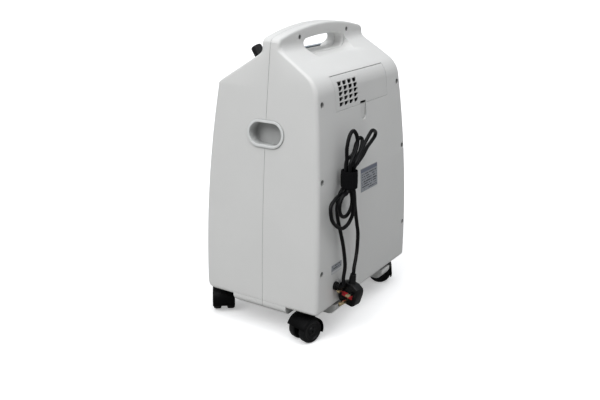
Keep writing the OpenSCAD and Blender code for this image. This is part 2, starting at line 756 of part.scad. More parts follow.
// six strands pass the strap, one in each slot; dz along the strap
function slot_at(k, dz) =
    [tie[0] + slot_r * cos(k * 60 - 30), tie[1] + slot_r * sin(k * 60 - 30), tie[2] + dz];
slot_in = 14;
slot_out = 20;
function up(k) = [slot_at(k, -slot_in), slot_at(k, 0), slot_at(k, slot_out)];
function down(k) = [slot_at(k, slot_out), slot_at(k, 0), slot_at(k, -slot_in)];
plug_top = [110, 165.5, 130.5];
from_gland = [
    [gland[0], 126, gland[1]], [gland[0], 138, gland[1]], [gland[0], 146.6, gland[1]],
    [gland[0] + 0.2, 152.3, gland[1] + 2.3], [gland[0] + 0.6, 154.6, gland[1] + 8],
    [gland[0] + 1.3, 154, gland[1] + 22], [122, 153, 150], [123, 149, 187], [128, 145, 218],
    [132, 141, 243], [134, 139, 266], [128, 138, 286], [120, 139, 299]];
top_middle_loop = [
    [97, 138, 356], [73, 138, 363], [60, 137, 380], [51, 139, 390], [46, 142.5, 386],
    [56, 146, 374], [71, 147, 359]];
low_inner_loop = [
    [91, 147, 284], [88, 146, 267], [105, 151, 258], [124, 153, 253], [141, 154, 258],
    [150, 154, 269], [152, 155, 285], [142, 155.5, 298], [127, 155.5, 300.5]];
top_left_loop = [
    [116, 157, 358], [97, 155, 373], [83, 152, 389], [85, 150, 405], [96, 149, 414],
    [108, 148, 406], [117, 148, 384], [116, 148, 359]];
low_outer_loop = [
    [119.5, 147.3, 304.5], [125.5, 145.5, 298], [140, 145, 296], [156, 147, 294], [172, 148, 287],
    [177, 150, 274], [172, 151, 257], [157, 152, 242], [140, 154, 233], [124, 156, 235],
    [114, 158, 244], [112, 162, 259], [114, 164, 278], [114, 164, 295]];
top_right_loop = [
    [114, 167, 359], [94, 163, 371], [67, 159, 385], [43, 156, 397], [26, 154, 402], [5, 150, 394],
    [1, 147, 385], [18, 148.5, 378], [46, 154, 373], [69, 157, 362], [92, 158, 352]];
to_plug = [
    [101, 158, 290], [98, 158, 270], [89, 156, 247], [79, 154, 222], [74, 154, 202],
    [79, 156, 174], [91, 160, 157],
    [plug_top[0] - 3.5, 165, plug_top[2] + 13.5], [plug_top[0] - 0.6, 165.8, plug_top[2] + 6],
    [plug_top[0], plug_top[1] + 0.1, plug_top[2] + 0.9]];
module power_cord() {
    color("Black") tube(spline(concat(
        from_gland, up(5), top_middle_loop, down(4), low_inner_loop, up(1), top_left_loop, down(0),
        low_outer_loop, up(2), top_right_loop, down(3), to_plug), 4), cord_r, 8);
}
strap_h = 34;
module cord_strap() {
    color("Black") translate([tie[0], tie[1], tie[2]]) difference() {
        union() {
            translate([0, 0, -strap_h / 2]) cylinder(r = 15.6, h = strap_h);
            translate([-9, -23.2, -10]) cube([18, 9.6, 20]);
        }
        translate([0, 0, -strap_h / 2 - 1]) cylinder(r = 14.1, h = strap_h + 2);
    }
}
module cord_gland() {
    color("Black") difference() {
        union() {
            rear_cyl(gland[0], gland[1], 8.6, 134.6, 139);
            rear_cyl(gland[0], gland[1], 6.4, 124, 135);
            rear_cyl(gland[0], gland[1], 5.4, 138, 146);
        }
        rear_cyl(gland[0], gland[1], cord_r + 0.3, 120, 150);
    }
}
plug_turn = 80;
plug_lean = 8;
plug_half_t = 10;
live_x = 11.1;
live_z = -35.5;
earth_z = -57.7;
module at_plug() {
    translate(plug_top) rotate([0, 0, plug_turn]) rotate([0, plug_lean, 0]) children();
}
// plug hangs cord-end up: face with the pins looks along its own -y
plug_side = [[10, -20], [21, -25.5], [23.2, -30], [23.5, -38], [19.8, -58], [17.6, -63], [13.5, -65]];
module plug_body() {
    t = plug_half_t;
    color("Black") at_plug() difference() {
        union() {
            translate([0, 0, -21]) cylinder(r1 = 7.8, r2 = 5.7, h = 21);
            translate([0, t, 0]) rotate([90, 0, 0]) linear_extrude(2 * t)
                polygon(concat(plug_side, [for (i = [6:-1:0]) [-plug_side[i][0], plug_side[i][1]]]));
        }
        // seats of the fuse cover and the pins
        translate([-13.2, -t - 2, -50.2]) cube([26.4, 5.2, 10.4]);
        for (s = [-1, 1]) translate([s * live_x - 3.3, -t - 2, live_z - 2.1]) cube([6.6, 11, 4.2]);
        translate([-2.1, -t - 2, earth_z - 4.1]) cube([4.2, 11, 8.2]);
    }
}
module plug_pins() {
    t = plug_half_t;
    color("Gold") at_plug() {
        for (s = [-1, 1]) translate([s * live_x - 3.2, -t - 17.7, live_z - 2]) cube([6.4, 26.5, 4]);
        translate([-2, -t - 22.7, earth_z - 4]) cube([4, 31.5, 8]);
    }
}
module fuse_cover() {
    color("Crimson") at_plug() translate([-13, -plug_half_t - 0.8, -50]) cube([26, 3.8, 10]);
}

// ---- casters ---------------------------------------------------------------
wheel_in = 6.2;
wheel_out = 22.8;
hood_r = 28.4;
module at_caster(i) {
    translate([casters[i][0], casters[i][1], 0]) rotate([0, 0, casters[i][2]]) children();
}
module caster_stems() {
    color("Silver") for (i = [0:3]) at_caster(i) {
        translate([0, 0, 34]) cylinder(r = 3.95, h = 26);
        translate([0, 0, 58.4]) cylinder(r = 9.6, h = 4.4, $fn = 6);
        translate([0, 0, 62]) cylinder(r = 4.95, h = 20);
        difference() {
            translate([0, 0, plate_top + 0.1]) cylinder(r = 9.6, h = 8, $fn = 6);
            translate([0, 0, plate_top - 1]) cylinder(r = 5.1, h = 12);
        }
    }
}
module caster_hood(i) {
    color("Black") at_caster(i) {
        difference() {
            union() {
                // web between the wheels
                translate([0, 5.6, 0]) rotate([90, 0, 0]) linear_extrude(11.2) union() {
                    translate([caster_trail, wheel_r]) circle(10);
                    translate([-9, 28]) square([20, 24]);
                    translate([-9, 20]) square([22, 12]);
                }
                // canopy over both wheels
                translate([0, 23.4, 0]) rotate([90, 0, 0]) linear_extrude(46.8) intersection() {
                    translate([caster_trail, wheel_r]) difference() {
                        circle(hood_r);
                        circle(wheel_r + 1);
                    }
                    polygon([[-30, 16], [caster_trail, 16], [caster_trail, 30], [60, 38], [60, 80], [-30, 80]]);
                }
                translate([0, 0, 51.5]) cylinder(r = 9, h = 6.1);
            }
            translate([0, 0, 33.5]) cylinder(r = 4, h = 40);
            translate([caster_trail, 10, wheel_r]) rotate([90, 0, 0]) cylinder(r = 2.55, h = 20);
        }
        translate([caster_trail, 22.4, wheel_r]) rotate([90, 0, 0]) cylinder(r = 2.5, h = 44.8);
    }
}
module caster_wheel(i, s) {
    w = wheel_out - wheel_in;
    color([0.16, 0.16, 0.17]) at_caster(i)
        translate([caster_trail, s * wheel_in, wheel_r]) rotate([-s * 90, 0, 0])
        rotate_extrude($fn = 96) union() {
            polygon([[2.56, 0.2], [8, 0.2], [8, 3], [17, 4], [17, 0.6], [21.5, 0], [wheel_r - 1.6, 0.4],
                [wheel_r, 2.6], [wheel_r, w - 4.5], [wheel_r - 1.2, w - 1.6], [wheel_r - 4, w],
                [18, w - 0.4], [16.5, w - 2.6], [9, w - 3.6], [7, w - 1], [2.56, w - 0.8]]);
        }
}

// ---- compressor ------------------------------------------------------------
comp_y = 34;
comp_z = 137;
module along_x(x0, x1, r, y = comp_y, z = comp_z) {
    translate([x0, y, z]) rotate([0, 90, 0]) cylinder(r = r, h = x1 - x0);
}
module compressor_motor() {
    color("DimGray") difference() {
        union() {
            along_x(-36, 36, 46);
            for (i = [0:7]) translate([0, comp_y, comp_z]) rotate([i * 45 + 22.5, 0, 0])
                translate([-30, 45, -2]) cube([60, 4, 4]);
        }
        along_x(-40, 40, 29);
    }
}
module compressor_crankcases() {
    color("Silver") difference() {
        union() {
            for (s = [-1, 1]) {
                along_x(min(s * 36.2, s * 42), max(s * 36.2, s * 42), 46);
                translate([s * 60 - 19, comp_y - 32, comp_z - 40]) cube([38, 64, 72]);
                translate([s * 60 - 24, comp_y - 44, comp_z - 50.5]) cube([48, 88, 12]);
                translate([s * 60, comp_y, comp_z + 30]) cylinder(r = 23, h = 44);
            }
        }
        for (s = [-1, 1]) {
            translate([s * 60, comp_y, comp_z]) cylinder(r = 19.5, h = 90);
            along_x(s * 60 - 15, s * 60 + 15, 26);
        }
        along_x(-100, 100, 8.1);
        along_x(-43, 43, 12);
    }
}
module compressor_rotor() {
    color("LightSteelBlue") {
        along_x(-94, 94, 6);
        along_x(-32, 32, 28.4);
        for (s = [-1, 1]) {
            translate([0, 0, 4]) along_x(s * 60 - 7, s * 60 + 7, 13);
            along_x(s * 88 - 4, s * 88 + 4, 13);
            for (i = [0:6]) translate([s * 88, comp_y, comp_z]) rotate([i * 360 / 7, 0, 0])
                translate([0, 0, 24]) rotate([0, 0, 32]) cube([10, 1.8, 26], center = true);
        }
    }
}
module compressor_bearings() {
    color("Silver") for (s = [-1, 1]) difference() {
        along_x(s * 77.5 - 1.4, s * 77.5 + 1.4, 8.05);
        along_x(s * 77.5 - 2, s * 77.5 + 2, 6.05);
    }
}
module cylinder_heads() {
    z0 = comp_z + 74.2;
    color("Silver") for (s = [-1, 1]) translate([s * 60, comp_y, z0]) {
        translate([-29, -29, 0]) cube([58, 58, 6]);
        for (i = [0:5]) translate([-29, -27 + i * 10, 5]) cube([58, 4, 13]);
        for (a = [-24, 24]) for (b = [-24, 24]) translate([a, b, 5]) cylinder(r = 3.5, h = 15);
        translate([0, -29, 3]) rotate([90, 0, 0]) cylinder(r = 4, h = 9);
    }
}
spring_h = comp_z - 50.5 - plate_top - 0.2;
module mount_springs() {
    turns = 4;
    n = 14;
    color("SlateGray") for (x = [-60, 60]) for (y = [comp_y - 38, comp_y + 38])
        tube([for (i = [0:turns * n]) [x + 7 * cos(i * 360 / n), y + 7 * sin(i * 360 / n),
            plate_top + 1.2 + (spring_h - 2.2) * i / (turns * n)]], 1, 6);
}
module capacitor() {
    color("WhiteSmoke") {
        along_x(-44, 40, 19, -72, plate_top + 19.5);
        along_x(39, 43, 6, -72, plate_top + 19.5);
    }
    color("Silver") translate([-4, -72, plate_top + 19.5]) difference() {
        rotate([0, 90, 0]) cylinder(r = 21, h = 10);
        translate([-1, 0, 0]) rotate([0, 90, 0]) cylinder(r = 19.1, h = 12);
        translate([-1, -30, -40]) cube([20, 60, 40 - 18.9]);
    }
}
fan_y = 34;
fan_z0 = 258;
module cooling_fan_frame() {
    h = 25;
    color([0.2, 0.2, 0.22]) translate([0, fan_y, fan_z0]) {
        difference() {
            translate([-60, -60, 0]) cube([120, 120, h]);
            translate([0, 0, -1]) cylinder(r = 56.5, h = h + 2);
            for (x = [-52.5, 52.5]) for (y = [-52.5, 52.5]) translate([x, y, -1]) cylinder(r = 2.2, h = h + 2);
        }
        cylinder(r = 19, h = 3);
        for (i = [0:3]) rotate([0, 0, i * 90 + 45]) translate([17, -2, 0]) cube([41, 4, 3]);
        cylinder(r = 2, h = 12);
    }
}
module cooling_fan_rotor() {
    color([0.12, 0.12, 0.13]) translate([0, fan_y, fan_z0 + 4]) difference() {
        union() {
            cylinder(r = 20, h = 19);
            for (i = [0:6]) rotate([0, 0, i * 360 / 7]) translate([36, 0, 9.5]) rotate([42, 0, 0])
                cube([36, 22, 1.8], center = true);
        }
        translate([0, 0, -1]) cylinder(r = 2.05, h = 10);
    }
}

// ---- gas parts -------------------------------------------------------------
bed = [140, -64];
bed_r = 34;
bed_z = 76;
bed_h = 262;
module sieve_beds() {
    color("Silver") for (s = [-1, 1]) translate([s * bed[0], bed[1], bed_z]) difference() {
        cylinder(r = bed_r, h = bed_h);
        translate([0, 0, -1]) cylinder(r = bed_r - 2, h = bed_h + 2);
    }
    // end caps
    color("LightSlateGray") for (s = [-1, 1]) translate([s * bed[0], bed[1], bed_z]) {
        translate([0, 0, -5]) cylinder(r = bed_r, h = 4.8);
        translate([0, 0, -1]) cylinder(r = bed_r - 2.2, h = 9);
        translate([0, 0, bed_h + 0.2]) cylinder(r = bed_r, h = 5);
        translate([0, 0, bed_h - 8]) cylinder(r = bed_r - 2.2, h = 9);
        translate([0, 0, bed_h + 4]) cylinder(r = 7, h = 10);
        translate([s * -7, 0, bed_h + 10]) rotate([0, s * -90, 0]) translate([0, 0, -6])
            cylinder(r = 3, h = 14);
    }
}
tank = [136, 52];
module product_tank() {
    color("WhiteSmoke") translate([tank[0], tank[1], plate_top + 0.2]) {
        cylinder(r = 31, h = 186);
        translate([0, 0, 184]) cylinder(r = 9, h = 10);
        translate([0, 0, 190]) cylinder(r = 3.2, h = 12);
    }
}
coil_at = [-136, 48];
module cooling_coil() {
    turns = 9;
    n = 16;
    color("Orange") tube([for (i = [0:turns * n]) [coil_at[0] + 25 * cos(i * 360 / n),
        coil_at[1] + 25 * sin(i * 360 / n), 82 + i * 15 / n]], 4, 8);
}
module valve_block() {
    color("Silver") translate([-66, 46, shelf_z + 0.1]) {
        cube([118, 34, 28]);
        for (i = [0:3]) translate([17 + i * 28, 17, 27]) {
            cylinder(r = 11.5, h = 34);
            cylinder(r = 13.4, h = 6);
            translate([-4, 8, 10]) cube([8, 9, 16]);
        }
        for (i = [0:3]) translate([17 + i * 28, 1, 14]) rotate([90, 0, 0]) cylinder(r = 4, h = 9);
    }
    // exhaust muffler on the end of the block
    color([0.25, 0.25, 0.27]) {
        along_x(56, 126, 15, 63, shelf_z + 17);
        along_x(52.2, 57, 5, 63, shelf_z + 17);
    }
}
module power_module() {
    color("DarkGreen") translate([66, -10, shelf_z + 3.1]) {
        cube([84, 52, 1.6]);
        translate([4, 5, 1.5]) cube([34, 36, 28]);
        translate([42, 6, 1.5]) cube([16, 30, 20]);
        for (y = [10, 26, 42]) translate([72, y, 1.5]) cylinder(r = 7, h = 22);
        for (x = [3, 81]) for (y = [3, 49]) translate([x, y, -3]) cylinder(r = 2.4, h = 3.1);
    }
}
module hoses() {
    color("WhiteSmoke") {
        // filter to the compressor
        tube(spline([[55, 23.4, 474], [55, 10, 470], [44, -18, 440], [20, -30, 380], [-20, -31, 320],
            [-78, -32, 270], [-90, -26, 232], [-62, -24, 216], [-60, -14, comp_z + 77.2],
            [-60, -4.4, comp_z + 77.2]], 5), 3.4, 8);
        // compressor to the cooling coil
        tube(spline([[60, -5, comp_z + 77.2], [60, -16, comp_z + 77], [30, -26, 200], [-40, -30, 176],
            [-96, -14, 120], [-103, 8, 88], [-110.5, 34, 80.6], [-111, 46.8, 81.7]], 5), 3, 8);
        // product tank to the flowmeter
        tube(spline([[tank[0], tank[1], plate_top + 203], [tank[0] - 4, 46, 310], [132, 10, 372],
            [120, -40, 384], [122, -76, 376], [meter_x, meter_y, 372], [meter_x, meter_y, 385.5]], 5), 2.8, 8);
    }
}

// which piece to draw

front_shell();
rear_shell();
base_plate();
inner_frame();
shell_screws();
side_grips();
control_panel();
switch_body();
power_rocker();
breaker_body();
breaker_button();
display_window();
control_board();
flow_valve();
flow_knob();
flowmeter_body();
flow_ball();
oxygen_outlet();
humidifier_bottle();
humidifier_lid();
dip_tube();
filter_door();
filter_tray();
filter_foam();
intake_filter();
power_cord();
cord_strap();
cord_gland();
plug_body();
plug_pins();
fuse_cover();
labels();
caster_stems();
caster_hood(0);  // front_right_hood
caster_wheel(0, 1);  // front_right_wheel_a
caster_wheel(0, -1);  // front_right_wheel_b
caster_hood(1);  // front_left_hood
caster_wheel(1, 1);  // front_left_wheel_a
caster_wheel(1, -1);  // front_left_wheel_b
caster_hood(2);  // rear_right_hood
caster_wheel(2, 1);  // rear_right_wheel_a
caster_wheel(2, -1);  // rear_right_wheel_b
caster_hood(3);  // rear_left_hood
caster_wheel(3, 1);  // rear_left_wheel_a
caster_wheel(3, -1);  // rear_left_wheel_b
compressor_motor();
compressor_crankcases();
compressor_rotor();
compressor_bearings();
cylinder_heads();
mount_springs();
capacitor();
cooling_fan_frame();
cooling_fan_rotor();
sieve_beds();
product_tank();
cooling_coil();
valve_block();
power_module();
hoses();
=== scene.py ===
# Oxygen concentrator seen from behind on a pale floor, under soft studio light.
import math

import bmesh
import bpy
from mathutils import Matrix, Vector, noise


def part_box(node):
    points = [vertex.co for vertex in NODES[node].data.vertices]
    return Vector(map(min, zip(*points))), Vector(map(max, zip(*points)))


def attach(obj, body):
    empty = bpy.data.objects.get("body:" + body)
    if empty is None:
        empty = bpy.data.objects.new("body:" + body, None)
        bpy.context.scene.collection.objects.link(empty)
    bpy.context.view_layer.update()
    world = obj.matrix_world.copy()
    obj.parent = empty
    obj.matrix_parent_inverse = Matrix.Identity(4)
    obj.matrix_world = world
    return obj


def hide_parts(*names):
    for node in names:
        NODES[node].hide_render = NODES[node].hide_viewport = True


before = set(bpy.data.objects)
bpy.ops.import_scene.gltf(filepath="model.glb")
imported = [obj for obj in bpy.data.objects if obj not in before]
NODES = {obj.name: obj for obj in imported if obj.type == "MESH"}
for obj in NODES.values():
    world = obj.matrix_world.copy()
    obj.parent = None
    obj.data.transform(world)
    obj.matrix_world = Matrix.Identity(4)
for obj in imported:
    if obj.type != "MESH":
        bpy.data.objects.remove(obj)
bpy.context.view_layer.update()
MM = 0.001


# ---- node helpers ------------------------------------------------------------
class Tree:
    """Short calls for building a shader from nodes."""

    def __init__(self, name):
        self.mat = bpy.data.materials.new(name)
        self.mat.use_nodes = True
        self.nt = self.mat.node_tree
        self.nt.nodes.clear()
        self.out = self.node("ShaderNodeOutputMaterial")
        self.coord = self.node("ShaderNodeTexCoord").outputs["Object"]

    def node(self, kind, **props):
        n = self.nt.nodes.new(kind)
        for k, v in props.items():
            setattr(n, k, v)
        return n

    def put(self, socket, value):
        if isinstance(value, bpy.types.NodeSocket):
            self.nt.links.new(value, socket)
        else:
            socket.default_value = value

    def math(self, op, *values, clamp=False):
        n = self.node("ShaderNodeMath", operation=op, use_clamp=clamp)
        for s, v in zip(n.inputs, values):
            self.put(s, v)
        return n.outputs[0]

    def vmath(self, op, *values):
        n = self.node("ShaderNodeVectorMath", operation=op)
        for s, v in zip(n.inputs, values):
            self.put(s, v)
        return n

    def scaled(self, sx, sy=None, sz=None, turn=(0, 0, 0)):
        n = self.node("ShaderNodeMapping")
        self.put(n.inputs["Vector"], self.coord)
        n.inputs["Scale"].default_value = (sx, sy or sx, sz or sx)
        n.inputs["Rotation"].default_value = turn
        return n.outputs[0]

    def noise(self, scale, detail=3.0, rough=0.55, vector=None):
        n = self.node("ShaderNodeTexNoise")
        self.put(n.inputs["Vector"], vector or self.coord)
        n.inputs["Scale"].default_value = scale
        n.inputs["Detail"].default_value = detail
        n.inputs["Roughness"].default_value = rough
        return n.outputs["Fac"]

    def voronoi(self, scale, feature="F1", out="Distance", vector=None):
        n = self.node("ShaderNodeTexVoronoi", feature=feature)
        self.put(n.inputs["Vector"], vector or self.coord)
        n.inputs["Scale"].default_value = scale
        return n.outputs[out]

    def span(self, value, lo, hi, to_lo=0.0, to_hi=1.0):
        n = self.node("ShaderNodeMapRange")
        for s, v in zip(n.inputs, (value, lo, hi, to_lo, to_hi)):
            self.put(s, v)
        return n.outputs[0]

    def mix(self, fac, a, b):
        n = self.node("ShaderNodeMix", data_type="RGBA")
        self.put(n.inputs[0], fac)
        self.put(n.inputs[6], a if isinstance(a, bpy.types.NodeSocket) else rgba(a))
        self.put(n.inputs[7], b if isinstance(b, bpy.types.NodeSocket) else rgba(b))
        return n.outputs[2]

    def bump(self, height, strength, distance, normal=None):
        n = self.node("ShaderNodeBump")
        n.inputs["Strength"].default_value = strength
        n.inputs["Distance"].default_value = distance
        self.put(n.inputs["Height"], height)
        if normal is not None:
            self.put(n.inputs["Normal"], normal)
        return n.outputs[0]

    def soft_edge(self, radius, samples=4):
        n = self.node("ShaderNodeBevel", samples=samples)
        n.inputs["Radius"].default_value = radius
        return n.outputs[0]

    def edge_mask(self, radius, lo=0.02, hi=0.25):
        """1 along convex and concave edges, 0 on open faces."""
        geo = self.node("ShaderNodeNewGeometry")
        dot = self.vmath("DOT_PRODUCT", self.soft_edge(radius), geo.outputs["Normal"])
        return self.span(self.math("SUBTRACT", 1.0, dot.outputs["Value"]), lo, hi)

    def painted_shade_mask(self, reach):
        """Mask for painted shade: 1 deep in a recess, 0 on open faces."""
        n = self.node("ShaderNodeAmbientOcclusion", samples=6)
        n.inputs["Distance"].default_value = reach
        return self.span(n.outputs["AO"], 0.85, 0.2)

    def finish(self, **inputs):
        b = self.node("ShaderNodeBsdfPrincipled")
        for k, v in inputs.items():
            name = {
                "Color": "Base Color",
                "Coat": "Coat Weight",
                "CoatRoughness": "Coat Roughness",
                "Transmission": "Transmission Weight",
                "Sheen": "Sheen Weight",
                "Specular": "Specular IOR Level",
            }.get(k, k)
            if name == "Base Color" and not isinstance(v, bpy.types.NodeSocket):
                v = rgba(v)
            self.put(b.inputs[name], v)
        self.nt.links.new(b.outputs[0], self.out.inputs[0])
        return self.mat


def rgba(c):
    return (c[0], c[1], c[2], 1.0)


def shade(c, k):
    return tuple(min(1.0, x * k) for x in c)


def moulded(
    name, color, rough=0.45, grain=0.35, size=0.7, edge=0.8, coat=0.0, dirt=0.04, wear=0.0, gloss=0.5,
    painted_recess_shade=0.0, reach=22,
):
    """Moulded plastic: spark-eroded grain, faint mottling, softened and slightly worn edges, and painted
    shade in recesses.

    Size is the grain's pitch, edge the softened edge and reach the depth of the painted recess shade, in
    mm.
    """
    t = Tree(name)
    big = t.noise(9.0, 4.0)
    mid = t.noise(70.0, 3.0)
    fine = t.noise(1000.0 / size, 2.0, 0.6)
    cells = t.voronoi(1000.0 / (size * 1.4), "SMOOTH_F1")
    tone = t.mix(t.span(big, 0.3, 0.7), shade(color, 1 - dirt), shade(color, 1 + dirt * 0.4))
    tone = t.mix(t.span(mid, 0.35, 0.75, 0.0, 0.5), tone, shade(color, 1 - dirt * 0.6))
    if wear:
        rub = t.math("MULTIPLY", t.edge_mask(edge * MM * 1.5), t.span(mid, 0.35, 0.6))
        tone = t.mix(t.math("MULTIPLY", rub, wear), tone, shade(color, 2.2 if max(color) < 0.3 else 1.1))
    # painted shade: deep recesses are darkened toward a quarter of the colour
    if painted_recess_shade:
        tone = t.mix(t.math("MULTIPLY", t.painted_shade_mask(reach * MM), painted_recess_shade), tone, shade(color, 0.25))
    r = t.span(t.math("ADD", fine, big), 0.7, 1.3, rough - 0.07, rough + 0.09)
    height = t.math("ADD", fine, t.math("MULTIPLY", cells, 0.8))
    n = t.bump(height, grain, 0.06 * MM, t.soft_edge(edge * MM) if edge else None)
    return t.finish(Color=tone, Roughness=r, Normal=n, Coat=coat, CoatRoughness=0.12, Specular=gloss)


def metal(name, color, rough=0.3, brush=(40, 900, 900), edge=0.3, bumps=0.2):
    """Bare metal with fine machining lines, smudges and brighter edges."""
    t = Tree(name)
    lines = t.noise(1.0, 4.0, 0.6, t.scaled(*brush))
    smudge = t.noise(30.0, 5.0)
    tone = t.mix(t.span(smudge, 0.3, 0.7), shade(color, 0.82), shade(color, 1.06))
    tone = t.mix(t.math("MULTIPLY", t.edge_mask(edge * MM * 2), 0.5), tone, shade(color, 1.3))
    r = t.span(t.math("ADD", lines, smudge), 0.6, 1.4, rough - 0.1, rough + 0.14)
    n = t.bump(lines, bumps, 0.04 * MM, t.soft_edge(edge * MM))
    return t.finish(Color=tone, Metallic=1.0, Roughness=r, Normal=n)


def painted(name, color, rough=0.4):
    """Paint or zinc on sheet metal: orange peel, dust, chipped edges."""
    t = Tree(name)
    peel = t.noise(500.0, 2.0)
    patch = t.noise(14.0, 6.0)
    tone = t.mix(t.span(patch, 0.35, 0.7), shade(color, 0.88), shade(color, 1.05))
    chip = t.math("MULTIPLY", t.edge_mask(1.0 * MM), t.span(t.noise(220.0, 4.0), 0.5, 0.62))
    tone = t.mix(chip, tone, (0.6, 0.6, 0.61))
    n = t.bump(peel, 0.2, 0.08 * MM, t.soft_edge(0.5 * MM))
    r = t.span(patch, 0.3, 0.7, rough, rough + 0.15)
    return t.finish(Color=tone, Metallic=t.span(chip, 0, 1, 0.35, 0.9), Roughness=r, Normal=n)


def clear(name, tint, rough=0.06):
    """Clear moulded plastic with faint flow marks and fine scratches."""
    t = Tree(name)
    flow = t.noise(22.0, 2.0)
    marks = t.noise(1.0, 5.0, 0.7, t.scaled(60, 60, 1400))
    r = t.span(marks, 0.45, 0.75, rough, rough + 0.14)
    n = t.bump(flow, 0.08, 1.2 * MM, t.soft_edge(0.5 * MM))
    tone = t.mix(t.span(flow, 0.3, 0.7), shade(tint, 0.95), tint)
    return t.finish(Color=tone, Roughness=r, Transmission=0.93, IOR=1.49, Normal=n)


def rubber(name, color, rough=0.62, size=0.5):
    """Matt flexible compound with a fine pebble and pale bloom."""
    t = Tree(name)
    pebble = t.voronoi(1000.0 / size, "SMOOTH_F1")
    bloom = t.noise(45.0, 6.0, 0.65)
    tone = t.mix(t.span(bloom, 0.42, 0.78), color, shade(color, 1.7))
    n = t.bump(t.math("ADD", pebble, t.noise(300.0)), 0.3, 0.06 * MM, t.soft_edge(0.5 * MM))
    r = t.span(bloom, 0.3, 0.7, rough - 0.08, rough + 0.12)
    return t.finish(Color=tone, Roughness=r, Normal=n, Specular=0.16)


def foam(name, color):
    """Open-cell filter foam, with painted shade in its pores."""
    t = Tree(name)
    pores = t.voronoi(700.0)
    small = t.voronoi(1500.0)
    # painted shade: the pore centres are darker, the struts between them lighter
    painted_pore_shade = t.span(pores, 0.15, 0.55)
    tone = t.mix(painted_pore_shade, shade(color, 0.3), shade(color, 2.6))
    depth = t.math("ADD", t.math("MULTIPLY", pores, -1.0), t.math("MULTIPLY", small, -0.4))
    n = t.bump(depth, 1.0, 1.0 * MM)
    return t.finish(Color=tone, Roughness=0.95, Normal=n, Sheen=0.15)


def woven(name, color):
    """Hook-and-loop fabric: short crossing fibres."""
    t = Tree(name)
    weave = t.noise(1.0, 3.0, 0.7, t.scaled(900, 900, 2600, (0.4, 0.3, 0.2)))
    cross = t.noise(1.0, 3.0, 0.7, t.scaled(2600, 2600, 700, (0.2, 0.6, 0.1)))
    fuzz = t.math("MAXIMUM", weave, cross)
    tone = t.mix(t.span(fuzz, 0.45, 0.8), shade(color, 0.6), shade(color, 3.2))
    n = t.bump(fuzz, 0.9, 0.5 * MM)
    return t.finish(Color=tone, Roughness=0.9, Normal=n, Specular=0.12)


def board(name, color):
    """Printed circuit laminate: traces under solder mask."""
    t = Tree(name)
    brick = t.node("ShaderNodeTexBrick")
    t.put(brick.inputs["Vector"], t.scaled(160, 160, 160))
    brick.inputs["Scale"].default_value = 1.0
    brick.inputs["Mortar Size"].default_value = 0.035
    brick.inputs["Brick Width"].default_value = 1.3
    lines = brick.outputs["Fac"]
    blotch = t.noise(260.0, 3.0)
    tone = t.mix(t.span(blotch, 0.4, 0.6), shade(color, 0.75), shade(color, 1.2))
    tone = t.mix(t.math("MULTIPLY", lines, 0.8), tone, (0.10, 0.38, 0.16))
    n = t.bump(lines, 0.3, 0.05 * MM, t.soft_edge(0.4 * MM))
    return t.finish(Color=tone, Roughness=t.span(blotch, 0.3, 0.7, 0.25, 0.4), Normal=n, Coat=0.3)


def axis_value(t, which):
    n = t.node("ShaderNodeSeparateXYZ")
    t.put(n.inputs[0], t.coord)
    return n.outputs[which]


def band(t, value, lo, hi, blur=0.00012):
    a = t.span(value, lo - blur, lo + blur)
    b = t.span(value, hi - blur, hi + blur)
    return t.math("SUBTRACT", a, b, clamp=True)


def field(t, x, z, x0, x1, z0, z1):
    """1 inside a rectangle of the front or rear view, given in mm."""
    return t.math("MULTIPLY", band(t, x, x0 * MM, x1 * MM), band(t, z, z0 * MM, z1 * MM))


def printed_label(name):
    """Metallic film with rows of plain bars in place of printing."""
    t = Tree(name)
    x = axis_value(t, 0)
    z = axis_value(t, 2)
    row_pitch = 5.2 * MM
    word_pitch = 3.4 * MM
    row = t.math("FRACT", t.math("DIVIDE", z, row_pitch))
    ink_row = t.math("MULTIPLY", t.span(row, 0.3, 0.36), t.span(row, 0.72, 0.66))
    word = t.node("ShaderNodeTexWhiteNoise", noise_dimensions="2D")
    comb = t.node("ShaderNodeCombineXYZ")
    t.put(comb.inputs[0], t.math("FLOOR", t.math("DIVIDE", x, word_pitch)))
    t.put(comb.inputs[1], t.math("FLOOR", t.math("DIVIDE", z, row_pitch)))
    t.put(word.inputs["Vector"], comb.outputs[0])
    ink = t.math("MULTIPLY", ink_row, t.span(word.outputs["Value"], 0.28, 0.3))
    # printed fields of the large and the small plate
    inside = t.math("MAXIMUM", field(t, x, z, -46, 17, 272.5, 306), field(t, x, z, 105, 139, 140.5, 149.5))
    ink = t.math("MULTIPLY", ink, inside)
    head = field(t, x, z, -49, 21, 308.5, 316)
    rule = field(t, x, z, -48, 20, 287.0, 287.7)
    film = t.noise(120.0, 4.0)
    base = t.mix(t.span(film, 0.3, 0.7), (0.33, 0.35, 0.39), (0.41, 0.43, 0.47))
    tone = t.mix(t.math("MAXIMUM", ink, rule), base, (0.03, 0.034, 0.042))
    tone = t.mix(head, tone, (0.17, 0.19, 0.25))
    tone = t.mix(field(t, x, z, 103, 142, 133.4, 138.6), tone, (0.78, 0.79, 0.80))
    r = t.span(film, 0.3, 0.7, 0.3, 0.42)
    n = t.bump(film, 0.1, 0.05 * MM)
    return t.finish(Color=tone, Metallic=0.35, Roughness=r, Normal=n, Coat=0.4)


